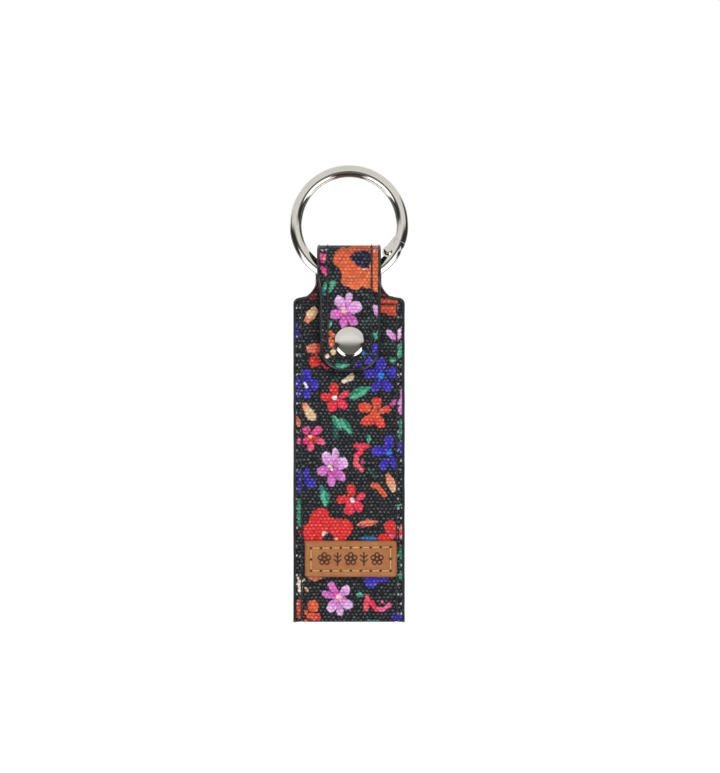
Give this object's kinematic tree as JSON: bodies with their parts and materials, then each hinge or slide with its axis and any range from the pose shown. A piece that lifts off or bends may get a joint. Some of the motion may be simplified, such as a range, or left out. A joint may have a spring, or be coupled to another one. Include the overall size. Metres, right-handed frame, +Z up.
{
  "type": "wristlet keychain fob",
  "caption": "Flat printed-canvas key fob whose strap loops over a round spring-gate ring and snaps shut, with a leather patch.",
  "frame": {"origin": "centre of the ring", "axes": "+Z up as the fob hangs, +X to the right seen from the front, front face towards -Y"},
  "size_m": [0.038, 0.0134, 0.1462],
  "materials": {
    "nickel": "polished",
    "spring_steel": "bright drawn wire",
    "printed_canvas": "plain weave with a printed flower pattern on black",
    "stiffener": "matte board",
    "edge_paint": "semi-gloss flexible edge paint",
    "black_thread": "waxed sewing thread",
    "leather": "smooth tan grain",
    "tan_thread": "waxed sewing thread"
  },
  "bodies": {
    "ring": {"ring_body": "nickel", "gate_pin": "nickel", "gate_spring": "spring_steel"},
    "gate": {"ring_gate": "nickel"},
    "loop": {"loop_lining": "printed_canvas"},
    "fob": {"fob_canvas": "printed_canvas", "fob_stiffener": "stiffener", "fob_edge_paint": "edge_paint", "fob_stitching": "black_thread", "fold_canvas": "printed_canvas", "fold_stiffener": "stiffener", "fold_edge_paint": "edge_paint", "fold_stitching": "black_thread", "leather_patch": "leather", "patch_stitching": "tan_thread", "snap_stud": "nickel", "snap_rivet": "nickel"},
    "flap": {"flap_canvas": "printed_canvas", "flap_lining": "printed_canvas", "flap_stiffener": "stiffener", "flap_edge_paint": "edge_paint", "flap_stitching": "black_thread", "snap_cap": "nickel", "snap_socket": "nickel", "socket_spring": "spring_steel"}
  },
  "joints": [
    {"name": "gate_open", "type": "hinge", "parent": "ring", "child": "gate", "pos_m": [0.01245, 0, -0.00872], "axis": [0, -1, 0], "range_deg": [0, 40], "stiffness_Nm_per_rad": 0.02, "springref_deg": -45.84, "deforming": ["gate_spring"]},
    {"name": "fob_turn", "type": "hinge", "parent": "ring", "child": "loop", "pos_m": [0, 0, 0], "axis": [0, -1, 0], "range_deg": [-110, 0]},
    {"name": "fob_swing", "type": "hinge", "parent": "loop", "child": "fob", "pos_m": [0, 0, -0.015], "axis": [1, 0, 0], "range_deg": [-130, 130], "deforming": ["loop_lining"]},
    {"name": "flap_open", "type": "hinge", "parent": "fob", "child": "flap", "pos_m": [0, 0, -0.0075], "axis": [-1, 0, 0], "range_deg": [0, 120], "deforming": ["fold_canvas", "fold_stiffener", "fold_edge_paint", "fold_stitching", "socket_spring"]}
  ]
}
